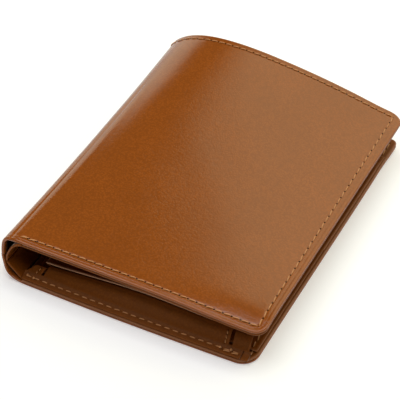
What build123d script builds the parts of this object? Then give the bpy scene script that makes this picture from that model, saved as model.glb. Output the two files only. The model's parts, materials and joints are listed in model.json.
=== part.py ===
from build123d import *
import math
import os

# Upright bifold combination wallet, closed and lying on its back half. Millimetres.
# X runs from the spine (-X) to the free edges (+X), Y from the closed bottom seam (-Y) to the
# open top of the banknote compartment (+Y), and Z is up. The origin is the bottom centre.

# ---- driving dimensions -------------------------------------------------------------------
HEIGHT = 125.0            # Y, length of the spine
SPINE_X = -46.5           # outer face of the spine
COVER_X = 46.5            # free edge of the front half
BACK_X = 44.0             # free edge of the back half, which the front half overhangs
COVER_Z = 17.3            # top of the front half where it lies flat
ARCH_Z = 25.8             # crown of the front half at the open top
ARCH_X = -20.0            # where that crown lies across the wallet
COVER_RADIUS = 4.5        # rounded free corners, front half
BACK_RADIUS = 6.0         # rounded free corners, back half

LEATHER = 1.0             # outer shell
PANEL = 0.8               # interior panels
POCKET = 0.6              # card-slot leather
LINING = 0.25             # fabric of the banknote compartment
GAP = 0.05                # play between layers that lie on each other

FOLD_LOW_X = -45.2        # the spine turns against the back half on this line, at z = 1.2
FOLD_HIGH_Z = 16.7        # the front half turns against the spine on this line, at x = -45.6
SPINE_START_X = FOLD_LOW_X + 4.2   # the spine's leather takes over from the back half's here
SPINE_TOP_Z = FOLD_HIGH_Z - 1.3    # and ends here, below the upper fold
COVER_START_Z = FOLD_HIGH_Z - 0.5  # the front half's leather starts here, above the upper fold
FOLD_GAP = 0.8            # clearance at the lower split

COIN_LEFT = -34.0         # coin pocket box
COIN_RIGHT = 32.5
COIN_NEAR = -57.6
COIN_FAR = 20.0
COIN_TOP = 9.0            # top of the pocket's front panel
GUSSET = 0.6              # bellows leather
TAB = 6.0                 # width of the gussets' sewn corner tabs
TAB_GAP = 1.6             # slot between a corner tab and the box
FLANGE = 3.2              # sewn foot of the bottom gusset
BELLOWS = 2.5             # depth of the side gussets' inward fold

FLAP_FOLD_Y = 26.0        # fold line of the flap, between the pocket and the card slots
FLAP_ROOT_Y = 27.4        # near face of the upstand that carries the flap
FLAP_FOOT = 6.0           # sewn foot of that upstand
FLAP_TIP_RADIUS = 8.0
FLAP_LINING = 0.4
FLAP_TIP_Y = -14.0
FLAP_HALF_ROOT = 31.0     # half width at the fold
FLAP_HALF_TIP = 23.0      # half width at the tip
STUD_Y = -5.0             # press-stud centre line
STUD_X = 0.0
STUD_POST_R = 1.4
CAP_R = 5.0
CAP_RISE = 0.9
SOCKET_R = 4.2
SOCKET_HEIGHT = 0.85
SOCKET_WALL_R = 2.4       # radius of the socket's mouth
NUB_R = 2.1
NUB_HEIGHT = 0.55
WASHER_R = 3.6
WASHER = 0.4
CLEAR = 0.1               # play round posts and where walls meet

STITCH = 2.2              # visible length of one stitch
PITCH = 3.0               # hole to hole
THREAD = 0.45             # thread width
SEAM_INSET = 2.8          # seam to edge

BACK_SLOT_EDGES = (51.3, 46.8)
FRONT_SLOT_EDGES = (50.0, 37.0, 24.0, 11.0)
SLOT_DEPTH = 55.0         # how far a slot's hidden part reaches below its edge

HALF = HEIGHT / 2
os.makedirs("parts", exist_ok=True)


# ---- helpers ------------------------------------------------------------------------------
def save(node, shape):
    """Write one sub-part; a list becomes a group of separate solids."""
    if isinstance(shape, list):
        shape = Compound(children=shape)
    export_step(shape, f"parts/{node}.step")


def sheet(x0, x1, y0, y1, z, thickness, radius=0.0):
    """Flat sheet with its lowest face at z; a radius rounds the two corners at its free edge."""
    block = Pos((x0 + x1) / 2, (y0 + y1) / 2, z + thickness / 2) * Box(x1 - x0, y1 - y0, thickness)
    if radius:
        upright = block.edges().filter_by(Axis.Z).sort_by(Axis.X)
        block = fillet(upright[-2:], radius)
    return block


def offset_inwards(points, distance):
    """Points of an open profile moved by distance to the right of its direction of travel."""
    moved = []
    for i, (x, z) in enumerate(points):
        ax, az = points[max(i - 1, 0)]
        bx, bz = points[min(i + 1, len(points) - 1)]
        run = math.hypot(bx - ax, bz - az)
        moved.append((x + distance * (bz - az) / run, z - distance * (bx - ax) / run))
    return moved


def strip_face(points, depth, thickness, y):
    """Upright strip across the wallet: its outer side lies depth inside the given profile."""
    outer = offset_inwards(points, depth) if depth else points
    inner = offset_inwards(points, depth + thickness)
    outer_edge = Spline([(x, y, z) for x, z in outer])
    inner_edge = Spline([(x, y, z) for x, z in inner])
    first_end = Line(outer_edge @ 0, inner_edge @ 0)
    last_end = Line(outer_edge @ 1, inner_edge @ 1)
    return make_face([outer_edge, last_end, inner_edge, first_end])


def swept_strip(near, far, depth, thickness, y0=-HALF, y1=HALF):
    """Loft of a strip from its profile at the bottom seam to its profile at the open top."""
    return loft([strip_face(near, depth, thickness, y0), strip_face(far, depth, thickness, y1)])


def stitches(run):
    """A seam's visible stitches, evenly pitched along a line or curve and turned with it."""
    count = int(run.length // PITCH)
    first = (run.length - (count - 1) * PITCH) / 2
    places = [(first + i * PITCH) / run.length for i in range(count)]
    return [(run ^ place) * Box(THREAD, THREAD, STITCH) for place in places]


# ---- profiles across the wallet, (x, z), from the table round the spine to the free edge --
spine_near = [
    (SPINE_START_X, 0.0),
    (-43.0, 0.9),
    (-45.3, 4.2),
    (-46.4, 9.0),
    (-46.3, 13.0),
    (-45.9, SPINE_TOP_Z),
]
spine_far = [
    (SPINE_START_X, 0.0),
    (-43.0, 0.9),
    (-45.4, 4.2),
    (SPINE_X, 9.0),
    (SPINE_X, 13.0),
    (-46.3, SPINE_TOP_Z),
]
cover_near = [
    (-45.9, COVER_START_Z),
    (-45.2, 17.0),
    (-43.6, COVER_Z),
    (ARCH_X, COVER_Z),
    (13.0, COVER_Z),
    (30.0, COVER_Z),
    (COVER_X, COVER_Z),
]
cover_far = [
    (-46.3, COVER_START_Z),
    (-43.7, 20.2),
    (-34.5, 24.4),
    (ARCH_X, ARCH_Z),
    (13.0, 22.4),
    (30.0, 19.2),
    (COVER_X, COVER_Z),
]


# ---- outer shell: one leather, divided where it folds -------------------------------------
def shell():
    back = sheet(SPINE_START_X + FOLD_GAP, BACK_X, -HALF, HALF, 0, LEATHER, BACK_RADIUS)
    save("shell_back", back)
    save("shell_spine", swept_strip(spine_near, spine_far, 0, LEATHER))
    cover = swept_strip(cover_near, cover_far, 0, LEATHER)
    plan = sheet(2 * SPINE_X, COVER_X, -HALF, HALF, 0, 2 * ARCH_Z, COVER_RADIUS)
    save("shell_front", cover & plan)


# ---- banknote compartment lining and the interior panels ----------------------------------
LINING_BACK_Z = LEATHER + GAP
BASE_BACK_Z = LINING_BACK_Z + LINING + GAP
LINING_FRONT_Z = COVER_Z - LEATHER - GAP - LINING
BASE_FRONT_Z = LINING_FRONT_Z - GAP - PANEL
INNER_X = -39.2           # where the interior panels end beside the spine
SEAM_ALLOWANCE = 1.2      # lining stops this far inside the turned edges


def linings():
    reach = HALF - SEAM_ALLOWANCE
    save("lining_back", sheet(INNER_X, BACK_X - SEAM_ALLOWANCE, -reach, reach, LINING_BACK_Z, LINING))
    save("lining_front", sheet(INNER_X, COVER_X - SEAM_ALLOWANCE, -reach, reach, LINING_FRONT_Z, LINING))
    lining_low, lining_high = spine_near[1:], spine_far[1:]
    save("lining_spine", swept_strip(lining_low, lining_high, LEATHER + GAP, LINING, -reach, reach))


def interior_panels():
    save("base_back", sheet(INNER_X, BACK_X, -HALF, HALF, BASE_BACK_Z, PANEL, BACK_RADIUS))
    save("base_front", sheet(INNER_X, COVER_X, -HALF, HALF, BASE_FRONT_Z, PANEL, COVER_RADIUS))
    # The hinge panel bows from the back half's panel into the spine and out to the front half's.
    hinge = [(-41.4, 4.0), (-43.9, 7.3), (-43.2, 11.2), (-41.6, 13.8)]
    save("hinge_panel", swept_strip(hinge, hinge, 0, PANEL))


# ---- card slots ---------------------------------------------------------------------------
SLOT_BACK_Z = BASE_BACK_Z + PANEL + GAP
SLOT_STEP = POCKET + GAP
SLOT_BACK_X0 = -36.5
SLOT_FRONT_X0 = -36.5
BACK_SLOTS_TOP = SLOT_BACK_Z + SLOT_STEP * len(BACK_SLOT_EDGES)


def card_slots():
    for i, edge in enumerate(BACK_SLOT_EDGES):
        last = i == len(BACK_SLOT_EDGES) - 1
        low = -HALF + SEAM_ALLOWANCE if last else edge - SLOT_DEPTH
        slot = sheet(SLOT_BACK_X0, BACK_X - 0.6, low, edge, SLOT_BACK_Z + i * SLOT_STEP, POCKET)
        save(f"card_slot_back_{i + 1}", slot)
    for i, edge in enumerate(FRONT_SLOT_EDGES):
        last = i == len(FRONT_SLOT_EDGES) - 1
        low = -HALF + 3 * SEAM_ALLOWANCE if last else edge - SLOT_DEPTH
        z = BASE_FRONT_Z - (i + 1) * SLOT_STEP
        save(f"card_slot_front_{i + 1}", sheet(SLOT_FRONT_X0, COVER_X - 3.5, low, edge, z, POCKET))


# ---- coin pocket: a front panel on three bellows gussets ----------------------------------
COIN_FLOOR = BACK_SLOTS_TOP
FRONT_UNDER = COIN_TOP - PANEL
WALL_TOP = FRONT_UNDER - GAP


def coin_pocket():
    panel = sheet(COIN_LEFT, COIN_RIGHT, COIN_NEAR, COIN_FAR, FRONT_UNDER, PANEL)
    save("coin_front_panel", panel - post_hole(COIN_TOP))
    # Bottom gusset: an upright wall whose foot is sewn to the panel below it.
    wall_height = WALL_TOP - COIN_FLOOR
    wall = sheet(COIN_LEFT, COIN_RIGHT, COIN_NEAR, COIN_NEAR + GUSSET, COIN_FLOOR, wall_height)
    foot_left, foot_right = COIN_LEFT - TAB, COIN_RIGHT + TAB
    foot = sheet(foot_left, foot_right, COIN_NEAR - FLANGE, COIN_NEAR + GUSSET, COIN_FLOOR, GUSSET)
    save("coin_gusset_bottom", wall + foot)
    save("coin_gusset_left", side_gusset(COIN_LEFT, -1))
    save("coin_gusset_right", side_gusset(COIN_RIGHT, 1))


def side_gusset(x, out):
    """Side wall with one inward fold, and the sewn tab that stands outside the corner."""
    middle = (COIN_FLOOR + WALL_TOP) / 2
    outer = x - out * CLEAR
    inner = outer - out * GUSSET
    profile = Polyline(
        (outer, COIN_FLOOR),
        (outer - out * BELLOWS, middle),
        (outer, WALL_TOP),
        (inner, WALL_TOP),
        (inner - out * BELLOWS, middle),
        (inner, COIN_FLOOR),
        close=True,
    )
    near = COIN_NEAR + GUSSET + CLEAR
    wall = Pos(0, near, 0) * extrude(Plane.XZ * make_face(profile), -(COIN_FAR - near))
    tab_x = sorted((x + out * TAB_GAP, x + out * TAB))
    tab_z = COIN_FLOOR + GUSSET + GAP
    tab = sheet(*tab_x, COIN_NEAR - GUSSET, COIN_NEAR, tab_z, WALL_TOP - 1.0 - tab_z)
    return [wall, tab]


def post_hole(z):
    """Hole for a stud's post through whatever layer lies near z."""
    return Pos(STUD_X, STUD_Y, z) * Cylinder(STUD_POST_R + CLEAR, 6 * PANEL)


# ---- flap over the coin pocket ------------------------------------------------------------
FLAP_Z = COIN_TOP + 1.0
FLAP_TOP = FLAP_Z + FLAP_LINING + GAP + PANEL


def flap_outline(shrink=0.0):
    """Plan of the flap: straight at the fold, tapering to a tip with rounded corners."""
    root = FLAP_HALF_ROOT - shrink
    tip = FLAP_HALF_TIP - shrink
    low = FLAP_TIP_Y + shrink
    plan = Polyline((-root, FLAP_FOLD_Y), (root, FLAP_FOLD_Y), (tip, low), (-tip, low), close=True)
    face = make_face(plan)
    return fillet(face.vertices().sort_by(Axis.Y)[:2], FLAP_TIP_RADIUS - shrink)


def flap():
    over = Pos(0, 0, FLAP_TOP - PANEL) * extrude(flap_outline(), PANEL)
    under = Pos(0, 0, FLAP_Z) * extrude(flap_outline(1.5), FLAP_LINING)
    save("coin_flap", over - post_hole(FLAP_TOP))
    save("coin_flap_lining", under - post_hole(FLAP_Z))
    # The flap's root is sewn on behind the pocket and stands up to the fold line.
    far = FLAP_ROOT_Y + FLAP_FOOT
    foot = sheet(-FLAP_HALF_ROOT, FLAP_HALF_ROOT, FLAP_ROOT_Y, far, COIN_FLOOR, PANEL)
    height = FLAP_Z + FLAP_LINING - COIN_FLOOR
    wall = sheet(-FLAP_HALF_ROOT, FLAP_HALF_ROOT, FLAP_ROOT_Y, FLAP_ROOT_Y + PANEL, COIN_FLOOR, height)
    save("flap_root", foot + wall)


# ---- press stud ---------------------------------------------------------------------------
def disc(radius, height, z):
    """Upright cylinder on the stud's axis with its foot at z."""
    return Pos(STUD_X, STUD_Y, z + height / 2) * Cylinder(radius, height)


def press_stud():
    dome = disc(CAP_R, CAP_RISE, FLAP_TOP + GAP)
    dome = fillet(dome.edges().sort_by(Axis.Z)[-1], CAP_RISE * 0.8)
    post = disc(STUD_POST_R, FLAP_TOP + GAP - FLAP_Z, FLAP_Z)
    save("stud_cap", dome + post)
    socket_z = FLAP_Z - SOCKET_HEIGHT - GAP / 2
    socket = disc(SOCKET_R, SOCKET_HEIGHT, socket_z)
    mouth = disc(SOCKET_WALL_R, SOCKET_HEIGHT - 0.2, socket_z)
    save("stud_socket", socket - mouth)
    save("stud_nub", disc(NUB_R, NUB_HEIGHT, COIN_TOP + GAP))
    washer = disc(WASHER_R, WASHER, WALL_TOP - WASHER)
    save("stud_rivet", washer + disc(STUD_POST_R, PANEL + GAP, WALL_TOP))


# ---- seams --------------------------------------------------------------------------------
LIFT = THREAD / 2 + 0.02
ARCH_LIFT = LIFT + 0.28         # over the arch each straight stitch bridges a curved surface


def across(near, far, y):
    """Line on the ruled surface between two profiles, lifted clear of the leather, at one y."""
    share = (y + HALF) / HEIGHT
    on_skin = [
        (a[0] + (b[0] - a[0]) * share, a[1] + (b[1] - a[1]) * share) for a, b in zip(near, far)
    ]
    return Spline([(x, y, z) for x, z in offset_inwards(on_skin, -ARCH_LIFT)])


def front_edge_seam():
    near_y, far_y = -HALF + SEAM_INSET, HALF - SEAM_INSET
    side_x = COVER_X - SEAM_INSET
    rows = []
    for y in (near_y, far_y):
        row = stitches(across(cover_near[1:], cover_far[1:], y))
        rows += [s for s in row if s.bounding_box().max.X < side_x]
    z = COVER_Z + ARCH_LIFT
    return rows + stitches(Line((side_x, near_y, z), (side_x, far_y, z + 0.3)))


def seams():
    save("thread_front_edge", front_edge_seam())
    far_y = HALF - SEAM_INSET
    save("thread_spine", stitches(across(spine_near[2:], spine_far[2:], far_y)))
    panel_z = BASE_BACK_Z + PANEL + LIFT
    slot_z = BACK_SLOTS_TOP - GAP + LIFT
    side_x = BACK_X - SEAM_INSET
    top_edge = BACK_SLOT_EDGES[-1]
    far_row = Line((INNER_X + 2, far_y, panel_z), (BACK_X - BACK_RADIUS, far_y, panel_z))
    side_row = Line((side_x, COIN_NEAR, slot_z), (side_x, top_edge - 1, slot_z))
    save("thread_back_edge", stitches(far_row) + stitches(side_row))
    foot_z = COIN_FLOOR + GUSSET + LIFT
    foot_y = COIN_NEAR - FLANGE / 2 - 0.2
    foot_row = Line((COIN_LEFT - TAB, foot_y, foot_z), (COIN_RIGHT + TAB, foot_y, foot_z))
    save("thread_coin_pocket", stitches(foot_row))
    slot_x = SLOT_BACK_X0 + 1.5
    slot_row = Line((slot_x, COIN_NEAR + PITCH, slot_z), (slot_x, top_edge - 1, slot_z))
    save("thread_back_slots", stitches(slot_row))
    root_z = COIN_FLOOR + PANEL + LIFT
    root_y = FLAP_ROOT_Y + FLAP_FOOT - 1.5
    root_row = Line((-FLAP_HALF_ROOT, root_y, root_z), (FLAP_HALF_ROOT, root_y, root_z))
    save("thread_flap_root", stitches(root_row))
    base_z = BASE_FRONT_Z - LIFT
    front_x = SLOT_FRONT_X0 - 1.5
    front_row = Line((front_x, -HALF + 3, base_z), (front_x, HALF - 3, base_z))
    save("thread_front_slots", stitches(front_row))


shell()
linings()
interior_panels()
card_slots()
coin_pocket()
flap()
press_stud()
seams()
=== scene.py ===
import json
import math

import bpy
import numpy as np
from mathutils import Matrix, Vector


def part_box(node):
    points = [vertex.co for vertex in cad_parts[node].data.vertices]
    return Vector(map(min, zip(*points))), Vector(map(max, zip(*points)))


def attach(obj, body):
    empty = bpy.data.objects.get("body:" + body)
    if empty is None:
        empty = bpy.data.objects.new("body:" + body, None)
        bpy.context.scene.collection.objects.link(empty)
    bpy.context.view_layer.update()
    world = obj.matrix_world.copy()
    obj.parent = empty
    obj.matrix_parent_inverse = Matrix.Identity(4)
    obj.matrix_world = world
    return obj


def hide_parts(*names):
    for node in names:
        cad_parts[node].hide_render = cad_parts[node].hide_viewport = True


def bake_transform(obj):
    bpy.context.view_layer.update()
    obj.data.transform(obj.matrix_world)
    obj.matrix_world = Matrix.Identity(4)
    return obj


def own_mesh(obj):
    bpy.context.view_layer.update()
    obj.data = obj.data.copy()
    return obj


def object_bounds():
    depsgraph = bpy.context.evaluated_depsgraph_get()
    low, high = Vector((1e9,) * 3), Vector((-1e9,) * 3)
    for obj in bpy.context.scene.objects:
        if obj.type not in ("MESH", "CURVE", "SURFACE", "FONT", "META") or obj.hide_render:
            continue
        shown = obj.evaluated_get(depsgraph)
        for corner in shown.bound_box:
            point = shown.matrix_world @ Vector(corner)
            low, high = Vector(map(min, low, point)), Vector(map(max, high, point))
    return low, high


# Looks of a closed upright bifold wallet in glossy cognac leather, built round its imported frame.
# Lengths in this script are millimetres; meshes, lights and the camera are written in metres.

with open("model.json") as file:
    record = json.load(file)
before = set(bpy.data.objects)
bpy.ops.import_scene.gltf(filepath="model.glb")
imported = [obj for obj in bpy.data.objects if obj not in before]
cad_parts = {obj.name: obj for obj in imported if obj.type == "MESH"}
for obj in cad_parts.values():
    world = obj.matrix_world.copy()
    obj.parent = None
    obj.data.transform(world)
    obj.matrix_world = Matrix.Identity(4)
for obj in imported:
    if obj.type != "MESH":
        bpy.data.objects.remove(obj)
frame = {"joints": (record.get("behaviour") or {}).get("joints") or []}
cad_low, cad_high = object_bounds()
MM = 0.001


def extent(node):
    """Lowest and highest corner of a CAD node, in millimetres."""
    low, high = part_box(node)
    return np.array(low) / MM, np.array(high) / MM


# ---- sizes, from the frame ----------------------------------------------------------------
BACK_LOW, BACK_HIGH = extent("shell_back")
HALF = BACK_HIGH[1]                         # half the length of the spine
BACK_X = BACK_HIGH[0]                       # free edge of the back half
LEATHER = BACK_HIGH[2]                      # thickness of the outer shell
COVER_X = extent("shell_front")[1][0]       # free edge of the front half
FOLDS = {joint["name"]: np.array(joint["pos_m"]) / MM for joint in frame["joints"]}
SPINE_X = FOLDS["cover_fold"][0] - 0.9      # outer face of the spine
ARCH_Z = cad_high[2] / MM - 0.65            # crown of the front half at its open top
PANEL_LOW, PANEL_HIGH = extent("base_back")
FRONT_LOW, FRONT_HIGH = extent("base_front")
COIN_LOW, COIN_HIGH = extent("coin_front_panel")
FLOOR_Z = extent("card_slot_back_2")[1][2]  # what the coin pocket is sewn to
FLAP_LOW, FLAP_HIGH = extent("coin_flap")
ROOT_LOW, ROOT_HIGH = extent("flap_root")
CAP_LOW, CAP_HIGH = extent("stud_cap")

# ---- sizes of the finish ------------------------------------------------------------------
COVER_RADIUS = (4.5, 4.5)  # the front half's rounded corners, near and far
BACK_RADIUS = (6.0, 2.5)  # the back half's
LINING_RADIUS = (4.5, 3.0)
TURN_WIDTH = 8.0          # width of the leather turned over at an edge
SEAM_INSET = 2.75         # edge to seam
CREASE_INSET = 1.35       # edge to the creased line beside the seam
PITCH = 3.0               # hole to hole
THREAD_R = 0.21           # half the width of the thread
HOLE_R = 0.31             # needle hole
SPLIT_Z = 16.0            # the cover's leather starts here, at the upper fold
POCKET = 0.5              # card-slot leather
SLOT_STEP = 0.55          # card slot to card slot
EDGE_LINES = np.array([0, 0.03, 0.1, 0.2, 0.35, 0.5, 0.8, 1.1, 1.25, 1.35, 1.45, 1.6,
                       2.0, 2.3, 2.55, 2.75, 2.95, 3.2, 3.6])


FINE_STEP = 0.15          # grid lines across a crease

# ---- surfaces -----------------------------------------------------------------------------
def smooth(low, high, value):
    """0 below low, 1 above high, and a smooth step between."""
    share = np.clip((value - low) / (high - low), 0, 1)
    return share * share * (3 - 2 * share)


def natural_spline(knots, values, at):
    """Natural cubic spline through values at the knots."""
    n = len(knots)
    if n == 2:
        share = (at - knots[0]) / (knots[1] - knots[0])
        return values[0] + (values[1] - values[0]) * share
    gaps = np.diff(knots)
    slopes = np.diff(values) / gaps
    system = np.eye(n)
    right = np.zeros(n)
    for i in range(1, n - 1):
        system[i, i - 1:i + 2] = gaps[i - 1], 2 * (gaps[i - 1] + gaps[i]), gaps[i]
        right[i] = 6 * (slopes[i] - slopes[i - 1])
    bend = np.linalg.solve(system, right)
    i = np.clip(np.searchsorted(knots, at) - 1, 0, n - 2)
    step = at - knots[i]
    linear = slopes[i] - gaps[i] * (2 * bend[i] + bend[i + 1]) / 6
    return values[i] + step * (linear + step * (bend[i] / 2 + step * (bend[i + 1] - bend[i]) / (6 * gaps[i])))


class Section:
    """A leather's surface: a cross-section in (x, z) that changes evenly along y, or one in (y, z) along x.

    Its coordinates are s, the length along the first cross-section, and t, the place along the
    other axis. The surface's front is on the left of the cross-section's direction of travel
    seen along +y, and on its right seen along +x.
    """

    def __init__(self, near, far=None, along="y", shape=None):
        self.near = np.array(near, float)
        self.far = np.array(far if far is not None else near, float)
        self.knots = np.concatenate([[0], np.cumsum(np.hypot(*np.diff(self.near, axis=0).T))])
        self.along = along
        self.shape = shape

    def point(self, s, t):
        s, t = np.broadcast_arrays(np.asarray(s, float), np.asarray(t, float))
        share = (t + HALF) / (2 * HALF) if self.along == "y" else 0.0
        a, z = [
            natural_spline(self.knots, self.near[:, k], s) * (1 - share)
            + natural_spline(self.knots, self.far[:, k], s) * share
            for k in (0, 1)
        ]
        x, y = (t, a) if self.along == "x" else (a, t)
        if self.shape:
            x, y, z = self.shape(s, x, y, z)
        return np.stack([x, y, z], -1)

    def normal(self, s, t):
        near = 0.02
        along_s = self.point(s + near, t) - self.point(s - near, t)
        along_t = self.point(s, t + near) - self.point(s, t - near)
        normal = np.cross(along_s, along_t)
        return normal / np.linalg.norm(normal, axis=-1, keepdims=True)

    def s_at(self, value, after=0.0):
        """The s, beyond the given one, where the first cross-section's x (or y) passes a value."""
        s = np.linspace(after, self.knots[-1], 4000)
        a = natural_spline(self.knots, self.near[:, 0], s)
        passed = np.nonzero((a[:-1] - value) * (a[1:] - value) <= 0)[0]
        return s[passed[0]] if len(passed) else self.knots[-1]


# ---- meshes -------------------------------------------------------------------------------
def grid_lines(low, high, closed_low, closed_high, step, reach):
    """Places of a sheet's grid lines, close together beside its finished edges."""
    close = EDGE_LINES[EDGE_LINES <= reach]
    first = low + close[-1] if closed_low else low
    last = high - close[-1] if closed_high else high
    count = max(2, round((last - first) / step))
    parts = [np.linspace(first, last, count + 1)]
    if closed_low:
        parts.insert(0, low + close[:-1])
    if closed_high:
        parts.append(high - close[:-1][::-1])
    return np.concatenate(parts)


def add_mesh(name, points, faces, materials, face_material=None, place=None, edge=None):
    """New object from points in millimetres, shaded smooth apart from its sharp edges."""
    mesh = bpy.data.meshes.new(name)
    mesh.from_pydata((points * MM).tolist(), [], faces)
    for material in materials:
        mesh.materials.append(material)
    if face_material is not None:
        mesh.polygons.foreach_set("material_index", np.asarray(face_material, np.int32))
    mesh.polygons.foreach_set("use_smooth", np.ones(len(mesh.polygons), bool))
    mesh.set_sharp_from_angle(angle=math.radians(52))
    if place is not None:
        attribute = mesh.attributes.new("place", "FLOAT_VECTOR", "POINT")
        attribute.data.foreach_set("vector", place.astype(np.float32).ravel())
    if edge is not None:
        attribute = mesh.attributes.new("edge", "FLOAT", "POINT")
        attribute.data.foreach_set("value", edge.astype(np.float32).ravel())
    mesh.update()
    obj = bpy.data.objects.new(name, mesh)
    bpy.context.scene.collection.objects.link(obj)
    return obj


def strips(index, flip=False):
    """Quads between neighbouring rows and columns of an array of vertex numbers."""
    a, b, c, d = index[:-1, :-1], index[1:, :-1], index[1:, 1:], index[:-1, 1:]
    order = (a, d, c, b) if flip else (a, b, c, d)
    return np.stack(order, -1).reshape(-1, 4)


def sheet_arrays(surface, s_range, t_range, thickness, depth=0.0, closed="sStT", rounded="sS",
                 radius=(0.0, 0.0), turned=0.0, skived=0.0, relief=None, step=0.9, fine=None):
    """A sheet of leather lying depth inside a surface, with rounded edges where it is closed.

    closed names the finished sides: s and S the first and last along s, t and T those along t.
    radius is that of the corners at the sides t and T, for the sides s and S named in rounded.
    Returns points, quads, each quad's side (0 front, 1 back), texture places and edge distances.
    """
    (s0, s1), (t0, t1) = s_range, t_range
    reach = 3.6 if min(s1 - s0, t1 - t0) > 9 else 0.5
    s_lines = grid_lines(s0, s1, "s" in closed, "S" in closed, step, reach)
    if fine:
        outside = (s_lines < fine[0]) | (s_lines > fine[1])
        band = np.linspace(*fine, round((fine[1] - fine[0]) / FINE_STEP) + 1)
        s_lines = np.sort(np.concatenate([s_lines[outside], band]))
    t_lines = grid_lines(t0, t1, "t" in closed, "T" in closed, step, reach)
    s, t = np.meshgrid(s_lines, t_lines, indexing="ij")
    sides = {"s": s - s0, "S": s1 - s, "t": t - t0, "T": t1 - t}
    edge = np.full(s.shape, 99.0)
    for side in closed:
        edge = np.minimum(edge, sides[side])
    for side_s, corner_s, way_s in (("s", s0, 1), ("S", s1, -1)):
        for side_t, corner_t, way_t, size in (("t", t0, 1, radius[0]), ("T", t1, -1, radius[1])):
            if not size or side_s not in rounded or side_s not in closed or side_t not in closed:
                continue
            u = 1 - sides[side_s] / size
            v = 1 - sides[side_t] / size
            inside = (u > 0) & (v > 0)
            u_round = u * np.sqrt(np.clip(1 - v * v / 2, 0, 1))
            v_round = v * np.sqrt(np.clip(1 - u * u / 2, 0, 1))
            s = np.where(inside, corner_s + way_s * size * (1 - u_round), s)
            t = np.where(inside, corner_t + way_t * size * (1 - v_round), t)
            edge = np.where(inside, size * (1 - np.hypot(u_round, v_round)), edge)
    edge = np.clip(edge, 0, None)
    thick = thickness + turned * smooth(TURN_WIDTH + 1, TURN_WIDTH, edge) - skived * smooth(t0 + 5, t0 + 1, t)
    rounding = 1 - np.sqrt(np.clip(1 - np.clip(1 - edge / (thick / 2), 0, 1) ** 2, 0, 1))
    lifted = relief(s, t, edge) * smooth(0, 0.5, edge) if relief else 0.0
    place = surface.point(s, t)
    normal = surface.normal(s, t)
    front_depth = depth + rounding * thick / 2 - lifted
    back_depth = depth + thick - rounding * thick / 2
    front = place - normal * front_depth[..., None]
    back = place - normal * back_depth[..., None]
    rows, columns = s.shape
    count = rows * columns
    front_index = np.arange(count).reshape(rows, columns)
    back_index = front_index + count
    on_border = {"s": (0, slice(None)), "S": (-1, slice(None)), "t": (slice(None), 0), "T": (slice(None), -1)}
    for side in closed:
        back_index[on_border[side]] = front_index[on_border[side]]
    quads = [strips(front_index), strips(back_index, flip=True)]
    turned_back = edge < TURN_WIDTH if turned else edge < thickness / 2
    back_side = np.where(turned_back[:-1, :-1], 0, 1).reshape(-1)
    side_of = [np.zeros(len(quads[0]), int), back_side]
    for side in "sStT":
        if side in closed:
            continue
        wall = np.stack([front_index[on_border[side]], back_index[on_border[side]]])
        quads.append(strips(wall, flip=side in "St"))
        side_of.append(np.ones(len(quads[-1]), int))
    points = np.concatenate([front.reshape(-1, 3), back.reshape(-1, 3)])
    texture = np.stack([s, t, front_depth], -1).reshape(-1, 3)
    texture_back = np.stack([s, t, back_depth], -1).reshape(-1, 3)
    edges = np.concatenate([edge.ravel(), edge.ravel()])
    return points, np.concatenate(quads), np.concatenate(side_of), np.concatenate([texture, texture_back]), edges


def join_arrays(parts):
    """Several sheets as one mesh, without the points that no quad uses."""
    points, quads, sides, places, edges = [], [], [], [], []
    start = 0
    for part in parts:
        points.append(part[0])
        quads.append(part[1] + start)
        sides.append(part[2])
        places.append(part[3])
        edges.append(part[4])
        start += len(part[0])
    points, quads, sides = np.concatenate(points), np.concatenate(quads), np.concatenate(sides)
    places, edges = np.concatenate(places), np.concatenate(edges)
    used, renumbered = np.unique(quads, return_inverse=True)
    return points[used], renumbered.reshape(quads.shape), sides, places[used], edges[used]


def leather_piece(name, parts, front, back):
    """One object from one or more sheets, with its front and back materials."""
    points, quads, sides, places, edges = join_arrays(parts)
    obj = add_mesh(name, points, quads.tolist(), [front, back], sides, places, edges)
    return obj


def divide(path, pitch):
    """Needle holes along a path of straight runs in (s, t), as pairs from hole to hole."""
    pairs = []
    for start, end in zip(path[:-1], path[1:]):
        start, end = np.array(start, float), np.array(end, float)
        count = max(1, round(np.linalg.norm(end - start) / pitch))
        holes = start + (end - start) * np.linspace(0, 1, count + 1)[:, None]
        pairs += list(zip(holes[:-1], holes[1:]))
    return np.array(pairs)


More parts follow.
